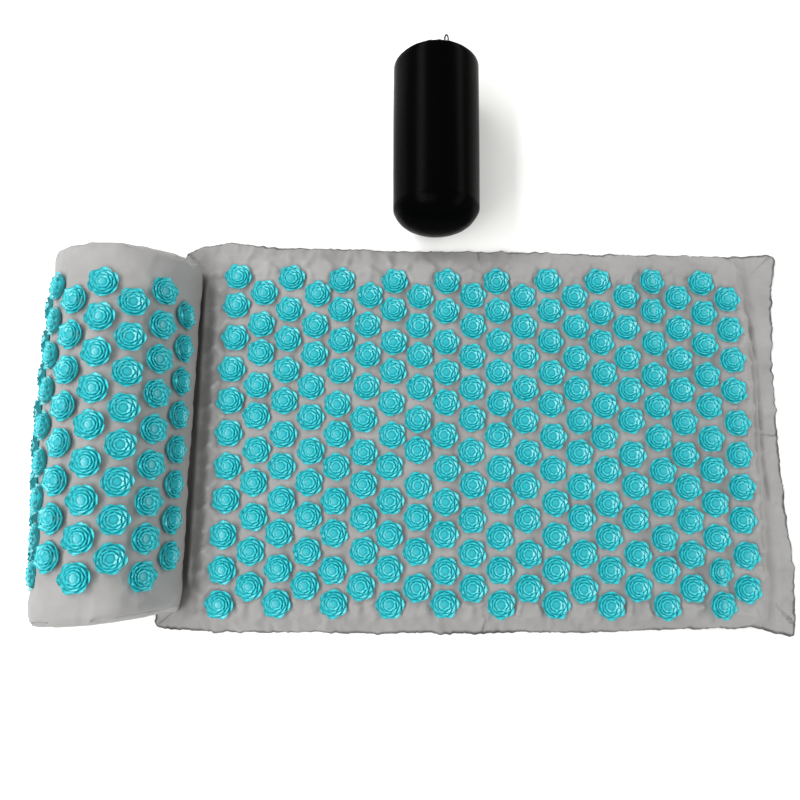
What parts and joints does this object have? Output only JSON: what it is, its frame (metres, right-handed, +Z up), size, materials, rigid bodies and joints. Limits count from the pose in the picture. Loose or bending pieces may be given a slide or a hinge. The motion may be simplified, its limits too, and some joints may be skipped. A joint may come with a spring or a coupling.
{
  "type": "acupressure mat",
  "caption": "Flat padded mat with a staggered field of spiked lotus discs, a half-round neck pillow with the same discs, and a round drawstring bag.",
  "frame": {"origin": "centre of the mat's flat underside, on the floor", "axes": "+X along the mat's length, away from the pillow; +Y across the mat, towards the bag; +Z up"},
  "size_m": [0.8005, 0.6423, 0.1088],
  "materials": {
    "disc_cotton": "light grey cotton set with glossy turquoise plastic lotus discs",
    "cotton": "matte light grey cotton",
    "foam": "open-cell polyurethane foam",
    "zip_coil": "grey nylon coil on woven tape",
    "zip_metal": "die-cast zinc, grey lacquer",
    "bag_nylon": "black satin nylon",
    "cord": "black braided cord",
    "lock_plastic": "black moulded acetal",
    "spring_wire": "drawn spring wire"
  },
  "bodies": {
    "mat": {"mat_top_cover": "disc_cotton", "mat_bottom_cover": "cotton", "mat_foam_pad": "foam", "mat_zip_tape_inner": "zip_coil", "mat_zip_tape_outer": "zip_coil", "mat_zip_stop_start": "zip_metal", "mat_zip_stop_end": "zip_metal"},
    "mat_zip_slider": {"mat_zip_slider": "zip_metal"},
    "mat_zip_pull": {"mat_zip_pull": "zip_metal"},
    "pillow": {"pillow_top_cover": "disc_cotton", "pillow_base_panel": "cotton", "pillow_end_near": "cotton", "pillow_end_far": "cotton", "pillow_core": "foam", "pillow_zip_tape_upper": "zip_coil", "pillow_zip_tape_lower": "zip_coil", "pillow_zip_stop_start": "zip_metal", "pillow_zip_stop_end": "zip_metal"},
    "pillow_zip_slider": {"pillow_zip_slider": "zip_metal"},
    "pillow_zip_pull": {"pillow_zip_pull": "zip_metal"},
    "bag": {"bag_body": "bag_nylon", "bag_base_panel": "bag_nylon", "bag_drawstring": "cord"},
    "cord_lock": {"cord_lock_barrel": "lock_plastic", "cord_lock_spring": "spring_wire"},
    "cord_lock_plunger": {"cord_lock_plunger": "lock_plastic"}
  },
  "joints": [
    {"name": "pillow_lift", "type": "slide", "parent": "mat", "child": "pillow", "axis": [0, 0, 1], "range_m": [0, 0.12]},
    {"name": "bag_lift", "type": "slide", "parent": "mat", "child": "bag", "axis": [0, 0, 1], "range_m": [0, 0.12]},
    {"name": "mat_zip_slide", "type": "slide", "parent": "mat", "child": "mat_zip_slider", "axis": [0, -1, 0], "range_m": [0, 0.2655]},
    {"name": "mat_pull_swing", "type": "hinge", "parent": "mat_zip_slider", "child": "mat_zip_pull", "pos_m": [0.273, 0.13885, 0.0021], "axis": [1, 0, 0], "range_deg": [0, 150]},
    {"name": "pillow_zip_slide", "type": "slide", "parent": "pillow", "child": "pillow_zip_slider", "axis": [-0.0122, -0.9999, 0], "range_m": [0, 0.2655]},
    {"name": "pillow_pull_swing", "type": "hinge", "parent": "pillow_zip_slider", "child": "pillow_zip_pull", "pos_m": [-0.44849, 0.13582, 0.01605], "axis": [0.0232, -0.0003, -0.9997], "range_deg": [0, 150]},
    {"name": "cord_lock_slide", "type": "slide", "parent": "bag", "child": "cord_lock", "axis": [1, 0, 0], "range_m": [0, 0.002]},
    {"name": "plunger_press", "type": "slide", "parent": "cord_lock", "child": "cord_lock_plunger", "axis": [0, 0, -1], "range_m": [0, 0.0012], "stiffness_N_per_m": 300, "springref_m": -0.002, "deforming": ["cord_lock_spring"]}
  ]
}
